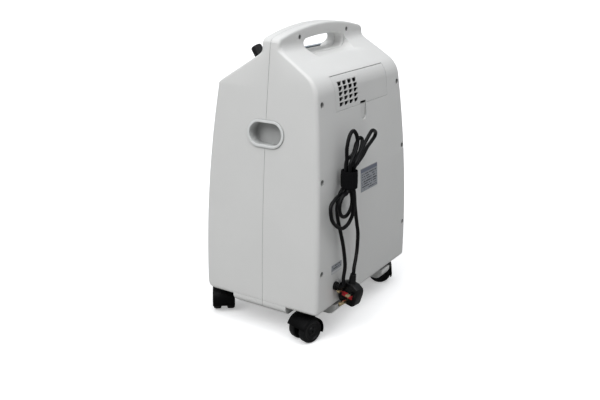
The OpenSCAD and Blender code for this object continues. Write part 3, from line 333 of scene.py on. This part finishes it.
def control_film(name):
    """Screen-printed film on the slope: plain colour fields and a scale of bars."""
    t = Tree(name)
    x = axis_value(t, 0)
    z = axis_value(t, 2)
    film = t.noise(700.0, 2.0)
    big = t.noise(12.0, 3.0)
    base = t.mix(t.span(big, 0.3, 0.7), (0.56, 0.63, 0.70), (0.60, 0.67, 0.74))
    stripe = band(t, z, 505 * MM, 507 * MM)
    tone = t.mix(stripe, base, (0.06, 0.17, 0.34))
    tone = t.mix(field(t, x, z, -62, 60, 509.5, 540), tone, (0.10, 0.22, 0.40))
    tone = t.mix(field(t, x, z, 104, 138, 520, 521), tone, (0.06, 0.17, 0.34))
    n = t.bump(film, 0.25, 0.03 * MM, t.soft_edge(0.5 * MM))
    return t.finish(Color=tone, Roughness=t.span(film, 0.3, 0.7, 0.28, 0.4), Normal=n)


def display(name):
    """Smoked window over a dark panel, with round lamps beside it."""
    t = Tree(name)
    x = axis_value(t, 0)
    lamps = band(t, x, 60 * MM, 90 * MM)
    dust = t.noise(320.0, 5.0)
    dark = t.mix(t.span(dust, 0.3, 0.75), (0.006, 0.008, 0.010), (0.02, 0.024, 0.028))
    tone = t.mix(lamps, dark, (0.05, 0.34, 0.10))
    n = t.bump(dust, 0.05, 0.05 * MM)
    return t.finish(Color=tone, Roughness=t.span(dust, 0.3, 0.7, 0.05, 0.16), Normal=n, Coat=0.6)


# top of the plug in mm, the direction its pins point in, and half its thickness
PLUG_TOP = Vector((110, 165.5, 130.5))
PIN_WAY = (0.985, -0.174, 0.0)
PLUG_HALF_T = 10


def pins(name):
    """Nickelled brass pins, the upper pair with black sleeves at the root."""
    t = Tree(name)
    sleeve = 9.3
    earth_top = 80
    smudge = t.noise(160.0, 4.0)
    tone = t.mix(t.span(smudge, 0.3, 0.7), (0.60, 0.46, 0.24), (0.78, 0.64, 0.40))
    out = t.vmath("DOT_PRODUCT", t.coord, PIN_WAY).outputs["Value"]
    root = (PLUG_TOP.dot(Vector(PIN_WAY)) + PLUG_HALF_T) * MM
    near_root = t.span(out, root + (sleeve + 0.3) * MM, root + sleeve * MM)
    above_earth = t.span(axis_value(t, 2), earth_top * MM, (earth_top + 0.4) * MM)
    sleeved = t.math("MULTIPLY", near_root, above_earth)
    tone = t.mix(sleeved, tone, (0.006, 0.006, 0.006))
    n = t.bump(t.noise(1.0, 3.0, 0.6, t.scaled(200, 200, 1500)), 0.2, 0.03 * MM, t.soft_edge(0.4 * MM))
    r = t.span(smudge, 0.3, 0.7, 0.18, 0.34)
    return t.finish(Color=tone, Metallic=t.span(sleeved, 0, 1, 1.0, 0.0), Roughness=r, Normal=n)


# ---- finishing the CAD surfaces ------------------------------------------------
def smooth_group():
    """Shades smooth, keeping edges over an angle sharp."""
    g = bpy.data.node_groups.new("smooth_by_angle", "GeometryNodeTree")
    g.interface.new_socket("Geometry", in_out="INPUT", socket_type="NodeSocketGeometry")
    g.interface.new_socket("Geometry", in_out="OUTPUT", socket_type="NodeSocketGeometry")
    gin = g.nodes.new("NodeGroupInput")
    gout = g.nodes.new("NodeGroupOutput")
    face = g.nodes.new("GeometryNodeSetShadeSmooth")
    face.domain = "FACE"
    edge = g.nodes.new("GeometryNodeSetShadeSmooth")
    edge.domain = "EDGE"
    edge.inputs["Shade Smooth"].default_value = False
    angle = g.nodes.new("GeometryNodeInputMeshEdgeAngle")
    over = g.nodes.new("FunctionNodeCompare")
    over.operation = "GREATER_THAN"
    over.inputs[1].default_value = math.radians(33)
    g.links.new(angle.outputs["Unsigned Angle"], over.inputs[0])
    g.links.new(over.outputs[0], edge.inputs["Selection"])
    g.links.new(gin.outputs[0], face.inputs["Geometry"])
    g.links.new(face.outputs[0], edge.inputs["Geometry"])
    g.links.new(edge.outputs[0], gout.inputs[0])
    return g


SMOOTH = smooth_group()


def refine(obj, bevel):
    """Welds a CAD mesh, rounds its sharp edges by bevel mm and shades it smooth."""
    m = obj.modifiers.new("weld", "WELD")
    m.merge_threshold = 2e-6
    if bevel:
        m = obj.modifiers.new("flat", "DECIMATE")
        m.decimate_type = "DISSOLVE"
        m.angle_limit = math.radians(0.6)
        m = obj.modifiers.new("edges", "BEVEL")
        m.width = bevel * MM
        m.segments = 2
        m.limit_method = "ANGLE"
        m.angle_limit = math.radians(38)
        m.use_clamp_overlap = True
        m.miter_outer = "MITER_ARC"
    m = obj.modifiers.new("smooth", "NODES")
    m.node_group = SMOOTH


def wear_material(obj, material):
    obj.data.materials.clear()
    obj.data.materials.append(material)


SHELL = (0.80, 0.80, 0.785)
# the shell is painted darker in its recesses: painted shade, 10 mm reach
shell_mat = moulded(
    "shell_plastic", SHELL, rough=0.46, grain=0.28, size=0.8, edge=1.2, dirt=0.025, painted_recess_shade=0.9, reach=10
)
door_mat = moulded(
    "door_plastic", shade(SHELL, 0.97), rough=0.44, grain=0.28, size=0.8, edge=0.7, dirt=0.025
)
# the grips are painted darker deep in their recesses: painted shade, 45 mm reach
grip_mat = moulded(
    "grip_plastic", (0.80, 0.81, 0.80), rough=0.34, grain=0.15, size=0.8, edge=1.0, dirt=0.02,
    painted_recess_shade=1.0, reach=45,
)
nylon_mat = moulded(
    "caster_nylon", (0.002, 0.002, 0.0022), rough=0.4, grain=0.3, size=0.6, edge=0.9, dirt=0.2,
    wear=0.3, gloss=0.1,
)
wheel_mat = moulded(
    "wheel_nylon", (0.004, 0.004, 0.0045), rough=0.34, grain=0.25, size=0.6, edge=0.8, dirt=0.2,
    wear=0.4, gloss=0.25,
)
black_gloss = moulded(
    "black_gloss", (0.012, 0.012, 0.013), rough=0.25, grain=0.1, size=0.6, edge=0.5, coat=0.2, dirt=0.1
)
black_matt = moulded(
    "black_matt", (0.02, 0.02, 0.021), rough=0.5, grain=0.3, size=0.6, edge=0.5, dirt=0.15, wear=0.3
)
plug_mat = moulded(
    "plug_plastic", (0.004, 0.004, 0.0045), rough=0.34, grain=0.3, size=0.7, edge=1.2, dirt=0.15,
    wear=0.2, gloss=0.25,
)
knob_mat = moulded(
    "knob_plastic", (0.005, 0.005, 0.0055), rough=0.38, grain=0.3, size=0.6, edge=0.5, dirt=0.15,
    wear=0.3, gloss=0.3,
)
rocker_mat = moulded("rocker_plastic", (0.02, 0.30, 0.09), rough=0.25, grain=0.1, size=0.6, edge=0.5)
fuse_mat = moulded("fuse_cover_red", (0.50, 0.012, 0.022), rough=0.32, grain=0.15, size=0.6, edge=0.5)
white_part = moulded(
    "white_fittings", (0.76, 0.77, 0.76), rough=0.42, grain=0.2, size=0.6, edge=0.6
)
dark_zinc = metal("screw_steel", (0.045, 0.045, 0.048), 0.42, edge=0.2)
steel = metal("steel", (0.52, 0.53, 0.54), 0.3)
alloy_cast = painted("cast_alloy", (0.55, 0.55, 0.56), 0.45)
alloy = metal("drawn_alloy", (0.66, 0.67, 0.68), 0.34, (900, 900, 30))
zinc = painted("zinc_sheet", (0.50, 0.51, 0.52), 0.38)
black_paint = painted("black_enamel", (0.025, 0.025, 0.027), 0.36)
brass = metal("brass", (0.70, 0.54, 0.26), 0.24, (30, 900, 900))
silicone = rubber("silicone", (0.70, 0.71, 0.68), 0.5)
cord_mat = rubber("cord_rubber", (0.0035, 0.0035, 0.004), 0.42, 0.35)
gland_mat = rubber("gland_rubber", (0.005, 0.005, 0.005), 0.6)
pcb = board("board_laminate", (0.02, 0.16, 0.06))
acrylic = clear("clear_acrylic", (0.93, 0.97, 0.98))
bottle_mat = clear("bottle_plastic", (0.90, 0.95, 0.98), 0.1)

# node -> (material, bevel width in mm)
LOOKS = {
    "front_shell": (shell_mat, 0),
    "rear_shell": (shell_mat, 0),
    "base_plate": (zinc, 0.3),
    "inner_frame": (zinc, 0.3),
    "shell_screws": (dark_zinc, 0.25),
    "side_grips": (grip_mat, 0.8),
    "control_panel": (control_film("control_film"), 0.3),
    "switch_body": (black_gloss, 0.5),
    "power_rocker": (rocker_mat, 0.5),
    "breaker_body": (black_gloss, 0.5),
    "breaker_button": (white_part, 0.5),
    "display_window": (display("display_window"), 0.3),
    "control_board": (pcb, 0.2),
    "flow_valve": (brass, 0.4),
    "flow_knob": (knob_mat, 0.4),
    "flowmeter_body": (acrylic, 0.5),
    "flow_ball": (metal("ball_steel", (0.6, 0.6, 0.62), 0.12), 0),
    "oxygen_outlet": (metal("nickel", (0.66, 0.60, 0.48), 0.22, (900, 30, 900)), 0.25),
    "humidifier_bottle": (bottle_mat, 0),
    "humidifier_lid": (white_part, 0.5),
    "dip_tube": (white_part, 0.3),
    "filter_door": (door_mat, 0),
    "filter_tray": (black_matt, 0),
    "intake_filter": (white_part, 0.6),
    "cord_gland": (gland_mat, 0.5),
    "plug_body": (plug_mat, 1.8),
    "plug_pins": (pins("pin_brass"), 0.5),
    "fuse_cover": (fuse_mat, 0.4),
    "labels": (printed_label("label_film"), 0),
    "caster_stems": (steel, 0.3),
    "compressor_motor": (black_paint, 0.5),
    "compressor_crankcases": (alloy_cast, 0.8),
    "compressor_rotor": (steel, 0.4),
    "compressor_bearings": (steel, 0.15),
    "cylinder_heads": (alloy_cast, 0.6),
    "mount_springs": (steel, 0),
    "capacitor": (white_part, 0.6),
    "cooling_fan_frame": (black_matt, 0.6),
    "cooling_fan_rotor": (black_matt, 0.3),
    "sieve_beds": (alloy, 0.5),
    "product_tank": (white_part, 1.0),
    "cooling_coil": (alloy, 0),
    "valve_block": (metal("milled_alloy", (0.60, 0.61, 0.62), 0.32), 0.5),
    "power_module": (pcb, 0.3),
    "hoses": (silicone, 0),
}
for corner in ("front_right", "front_left", "rear_right", "rear_left"):
    LOOKS[corner + "_hood"] = (nylon_mat, 0.8)
    for side in ("a", "b"):
        LOOKS[corner + "_wheel_" + side] = (wheel_mat, 0.5)
for node, (material, width) in LOOKS.items():
    if node in NODES:
        wear_material(NODES[node], material)
        refine(NODES[node], width)


# ---- new pieces ----------------------------------------------------------------
def new_piece(name, bm, material, body="cabinet", smooth=True):
    mesh = bpy.data.meshes.new(name)
    bmesh.ops.recalc_face_normals(bm, faces=bm.faces)
    bm.to_mesh(mesh)
    bm.free()
    for p in mesh.polygons:
        p.use_smooth = smooth
    obj = bpy.data.objects.new(name, mesh)
    bpy.context.scene.collection.objects.link(obj)
    obj.data.materials.append(material)
    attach(obj, body)
    return obj


def spline(points, per):
    """Catmull-Rom curve through a list of points, in PER steps from each point to the next."""
    pts = [Vector(p) for p in points]
    out = []
    for i in range(len(pts) - 1):
        a, b, c, d = pts[max(i - 1, 0)], pts[i], pts[i + 1], pts[min(i + 2, len(pts) - 1)]
        for k in range(per):
            t = k / per
            out.append(
                0.5
                * (
                    2 * b
                    + (c - a) * t
                    + (2 * a - 5 * b + 4 * c - d) * t * t
                    + (3 * b - a - 3 * c + d) * t**3
                )
            )
    out.append(pts[-1])
    return out


def sweep(bm, path, radius, sides=20):
    """Round tube along a path, closed with flat ends."""
    u = Vector((0.31, 0.42, 0.85))
    angles = [2 * math.pi * k / sides for k in range(sides)]
    rings = []
    n = len(path)
    for i, p in enumerate(path):
        t = (path[min(i + 1, n - 1)] - path[max(i - 1, 0)]).normalized()
        u = (u - u.dot(t) * t).normalized()
        w = t.cross(u)
        rings.append([bm.verts.new(p + radius * (math.cos(a) * u + math.sin(a) * w)) for a in angles])
    for a, b in zip(rings, rings[1:]):
        for k in range(sides):
            bm.faces.new((a[k], a[(k + 1) % sides], b[(k + 1) % sides], b[k]))
    bm.faces.new(rings[0][::-1])
    bm.faces.new(rings[-1])


# mains cord: the same run as its CAD solid, in mm
CORD_R = 3.65
# x and z of the gland, and the middle of the strap
GLAND = (127.7, 104.7)
TIE = Vector((111, 152, 324))
# distance of each strand from the middle of the strap
SLOT_R = 8.8
TOP_MIDDLE_LOOP = [
    (97, 138, 356), (73, 138, 363), (60, 137, 380), (51, 139, 390), (46, 142.5, 386),
    (56, 146, 374), (71, 147, 359),
]
LOW_INNER_LOOP = [
    (91, 147, 284), (88, 146, 267), (105, 151, 258), (124, 153, 253), (141, 154, 258),
    (150, 154, 269), (152, 155, 285), (142, 155.5, 298), (127, 155.5, 300.5),
]
TOP_LEFT_LOOP = [
    (116, 157, 358), (97, 155, 373), (83, 152, 389), (85, 150, 405), (96, 149, 414),
    (108, 148, 406), (117, 148, 384), (116, 148, 359),
]
LOW_OUTER_LOOP = [
    (119.5, 147.3, 304.5), (125.5, 145.5, 298), (140, 145, 296), (156, 147, 294), (172, 148, 287),
    (177, 150, 274), (172, 151, 257), (157, 152, 242), (140, 154, 233), (124, 156, 235),
    (114, 158, 244), (112, 162, 259), (114, 164, 278), (114, 164, 295),
]
TOP_RIGHT_LOOP = [
    (114, 167, 359), (94, 163, 371), (67, 159, 385), (43, 156, 397), (26, 154, 402), (5, 150, 394),
    (1, 147, 385), (18, 148.5, 378), (46, 154, 373), (69, 157, 362), (92, 158, 352),
]


def tie_slot(k, dz):
    """Point of strand k, one of six in the strap, dz above its middle."""
    a = math.radians(60 * k - 30)
    return (TIE.x + SLOT_R * math.cos(a), TIE.y + SLOT_R * math.sin(a), TIE.z + dz)


def tie_up(k):
    return [tie_slot(k, -14), tie_slot(k, 0), tie_slot(k, 20)]


def tie_down(k):
    return tie_up(k)[::-1]


FROM_GLAND = [
    (GLAND[0], 126, GLAND[1]), (GLAND[0], 138, GLAND[1]), (GLAND[0], 146.6, GLAND[1]),
    (GLAND[0] + 0.2, 152.3, GLAND[1] + 2.3), (GLAND[0] + 0.6, 154.6, GLAND[1] + 8),
    (GLAND[0] + 1.3, 154, GLAND[1] + 22), (122, 153, 150), (123, 149, 187), (128, 145, 218),
    (132, 141, 243), (134, 139, 266), (128, 138, 286), (120, 139, 299),
]
TO_PLUG = [
    (101, 158, 290), (98, 158, 270), (89, 156, 247), (79, 154, 222), (74, 154, 202),
    (79, 156, 174), (91, 160, 157), (PLUG_TOP.x - 3.5, 165, PLUG_TOP.z + 13.5),
    (PLUG_TOP.x - 0.6, 165.8, PLUG_TOP.z + 6), (PLUG_TOP.x, PLUG_TOP.y + 0.1, PLUG_TOP.z + 0.9),
]
CORD = (
    FROM_GLAND + tie_up(5) + TOP_MIDDLE_LOOP + tie_down(4) + LOW_INNER_LOOP + tie_up(1)
    + TOP_LEFT_LOOP + tie_down(0) + LOW_OUTER_LOOP + tie_up(2) + TOP_RIGHT_LOOP + tie_down(3) + TO_PLUG
)


def mains_cord():
    bm = bmesh.new()
    path = [p * MM for p in spline(CORD, 14)]
    sweep(bm, path, CORD_R * MM)
    obj = new_piece("mains_cord", bm, cord_mat)
    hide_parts("power_cord")


mains_cord()


def strap():
    """Hook-and-loop strap: one turn round the bundle with the tail lapped over."""
    bm = bmesh.new()
    turns = 1.22
    start = math.radians(215)
    radius = 14.3
    overlap = 1.6
    half_width = 17.0
    tail = 0.03
    columns = 110
    rows = 15
    grid = []
    for i in range(columns + 1):
        s = i / columns
        a = start + turns * 2 * math.pi * s
        lap = max(0.0, (s * turns - 0.98)) * 9
        r = radius + min(overlap, lap) + 0.28 * noise.noise(Vector((s * 9, 0.3, 1.7)))
        # the tail's corners are rounded off
        end = 1.0
        if s > 1 - tail:
            end = math.sqrt(max(0.0, 1 - ((s - 1 + tail) / tail) ** 2 * 0.35))
        col = []
        for j in range(rows + 1):
            v = j / rows * 2 - 1
            sag = 0.4 * noise.noise(Vector((s * 12, v * 1.5, 4.2)))
            rr = r + sag - 0.35 * v * v
            dz = v * half_width * end + 0.5 * noise.noise(Vector((s * 6, 2.2, 0.1)))
            p = TIE + Vector((rr * math.cos(a), rr * math.sin(a), dz))
            col.append(bm.verts.new(p * MM))
        grid.append(col)
    for a, b in zip(grid, grid[1:]):
        for j in range(rows):
            bm.faces.new((a[j], b[j], b[j + 1], a[j + 1]))
    obj = new_piece("hook_loop_strap", bm, woven("strap_fabric", (0.004, 0.004, 0.0045)))
    m = obj.modifiers.new("thick", "SOLIDIFY")
    m.thickness = 1.5 * MM
    m.offset = 1.0
    m = obj.modifiers.new("round", "BEVEL")
    m.width = 0.4 * MM
    m.segments = 2
    m.limit_method = "ANGLE"
    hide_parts("cord_strap")


strap()


def foam_sheet():
    """Open-cell foam pad with uneven cut faces."""
    lo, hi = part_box("filter_foam")
    bm = bmesh.new()
    nx, nz = 150, 44
    # kept clear of the tray that holds it
    pad = 0.6 * MM
    lo = lo + Vector((pad, pad, pad))
    hi = hi - Vector((pad, pad, pad))

    def cut(p):
        return 0.9 * MM * noise.noise(p * 330)

    sheets = []
    for y, sign in ((lo.y, -1), (hi.y, 1)):
        rows = []
        for i in range(nx + 1):
            rows.append([])
            for j in range(nz + 1):
                p = Vector((lo.x + (hi.x - lo.x) * i / nx, y, lo.z + (hi.z - lo.z) * j / nz))
                edge = min(i, nx - i, j, nz - j)
                rounded = 1.2 * MM if edge == 0 else 0.3 * MM if edge == 1 else 0
                p.y += cut(p) - sign * rounded
                rows[-1].append(bm.verts.new(p))
        sheets.append(rows)
    for rows in sheets:
        for i in range(nx):
            for j in range(nz):
                bm.faces.new((rows[i][j], rows[i + 1][j], rows[i + 1][j + 1], rows[i][j + 1]))
    a, b = sheets
    rim_a = [r[0] for r in a] + a[-1][1:] + [r[-1] for r in a[-2::-1]] + a[0][-2:0:-1]
    rim_b = [r[0] for r in b] + b[-1][1:] + [r[-1] for r in b[-2::-1]] + b[0][-2:0:-1]
    for k in range(len(rim_a)):
        q = (k + 1) % len(rim_a)
        bm.faces.new((rim_a[k], rim_a[q], rim_b[q], rim_b[k]))
    obj = new_piece("foam_pad", bm, foam("filter_foam", (0.012, 0.012, 0.013)))
    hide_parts("filter_foam")


foam_sheet()


# ---- floor, light and camera ----------------------------------------------------
HORIZON = (0.20, 0.20, 0.195)
ZENITH = (0.47, 0.49, 0.525)
FLOOR_BOUNCE = (0.28, 0.28, 0.275)
FLOOR_GLOW = 0.35
FLOOR_HALF = 60.0
# name, strength, direction the light comes from, softness in degrees
LIGHTS = [
    ("overhead", 1.47, (0.08, 0.26, 0.962), 60),
    ("side", 1.27, (0.70, -0.16, 0.70), 40),
]
WHITE = (1.0, 1.0, 1.0, 1.0)


def pale_floor():
    """Near white to the camera, greyer in the light it throws back on the cabinet."""
    t = Tree("pale_floor")
    tone = t.mix(t.span(t.noise(3.0, 4.0), 0.3, 0.7), (0.86, 0.86, 0.86), (0.88, 0.88, 0.88))
    seen = t.node("ShaderNodeLightPath").outputs["Is Camera Ray"]
    t.finish(Color=t.mix(seen, FLOOR_BOUNCE, tone), Roughness=0.9, Specular=0.1)
    shader = t.out.inputs[0].links[0].from_node
    t.put(shader.inputs["Emission Color"], WHITE)
    t.put(shader.inputs["Emission Strength"], t.math("MULTIPLY", seen, FLOOR_GLOW))
    return t.mat


def floor():
    bm = bmesh.new()
    corners = ((-1, -1), (1, -1), (1, 1), (-1, 1))
    bm.faces.new([bm.verts.new((x * FLOOR_HALF, y * FLOOR_HALF, 0)) for x, y in corners])
    mesh = bpy.data.meshes.new("floor")
    bm.to_mesh(mesh)
    bm.free()
    obj = bpy.data.objects.new("floor", mesh)
    bpy.context.scene.collection.objects.link(obj)
    obj.data.materials.append(pale_floor())


def studio_dome():
    """World light, brighter and cooler overhead than at the horizon, and white to the camera."""
    world = bpy.data.worlds.new("studio")
    world.use_nodes = True
    nt = world.node_tree
    sky = nt.nodes["Background"]
    geo = nt.nodes.new("ShaderNodeNewGeometry")
    split = nt.nodes.new("ShaderNodeSeparateXYZ")
    height = nt.nodes.new("ShaderNodeMapRange")
    height.inputs[1].default_value = 0.0
    height.inputs[2].default_value = -1.0
    dome = nt.nodes.new("ShaderNodeMix")
    dome.data_type = "RGBA"
    dome.inputs[6].default_value = rgba(HORIZON)
    dome.inputs[7].default_value = rgba(ZENITH)
    sight = nt.nodes.new("ShaderNodeLightPath")
    seen = nt.nodes.new("ShaderNodeMix")
    seen.data_type = "RGBA"
    seen.inputs[7].default_value = WHITE
    nt.links.new(geo.outputs["Incoming"], split.inputs[0])
    nt.links.new(split.outputs[2], height.inputs[0])
    nt.links.new(height.outputs[0], dome.inputs[0])
    nt.links.new(sight.outputs["Is Camera Ray"], seen.inputs[0])
    nt.links.new(dome.outputs[2], seen.inputs[6])
    nt.links.new(seen.outputs[2], sky.inputs[0])
    sky.inputs[1].default_value = 1.0
    bpy.context.scene.world = world


def lights():
    for name, power, toward, spread in LIGHTS:
        lamp = bpy.data.lights.new(name, "SUN")
        lamp.energy = power
        lamp.angle = math.radians(spread)
        obj = bpy.data.objects.new(name, lamp)
        obj.rotation_euler = Vector(toward).to_track_quat("Z", "Y").to_euler()
        bpy.context.scene.collection.objects.link(obj)


floor()
studio_dome()
lights()

# camera position in metres, and the way it looks
CAMERA_AT = (1.36283, 0.82822, 0.75132)
CAMERA_AZIMUTH = 122.16
CAMERA_ELEVATION = 18.32
CAMERA_ROLL = 0.33
LENS = 46.83


def camera():
    azimuth = math.radians(CAMERA_AZIMUTH)
    elevation = math.radians(CAMERA_ELEVATION)
    roll = math.radians(CAMERA_ROLL)
    back = Vector(
        (
            math.sin(azimuth) * math.cos(elevation),
            -math.cos(azimuth) * math.cos(elevation),
            math.sin(elevation),
        )
    )
    right = (-back).cross(Vector((0, 0, 1))).normalized()
    up = right.cross(-back)
    right, up = (
        right * math.cos(roll) + up * math.sin(roll),
        -right * math.sin(roll) + up * math.cos(roll),
    )
    cam = bpy.data.cameras.new("camera")
    cam.sensor_width = 36
    cam.lens = LENS
    cam.clip_end = 200
    obj = bpy.data.objects.new("camera", cam)
    pose = Matrix((right, up, back)).transposed().to_4x4()
    pose.translation = Vector(CAMERA_AT)
    obj.matrix_world = pose
    bpy.context.scene.collection.objects.link(obj)
    bpy.context.scene.camera = obj


camera()
scene = bpy.context.scene
scene.view_settings.view_transform = "Standard"
scene.view_settings.look = "None"
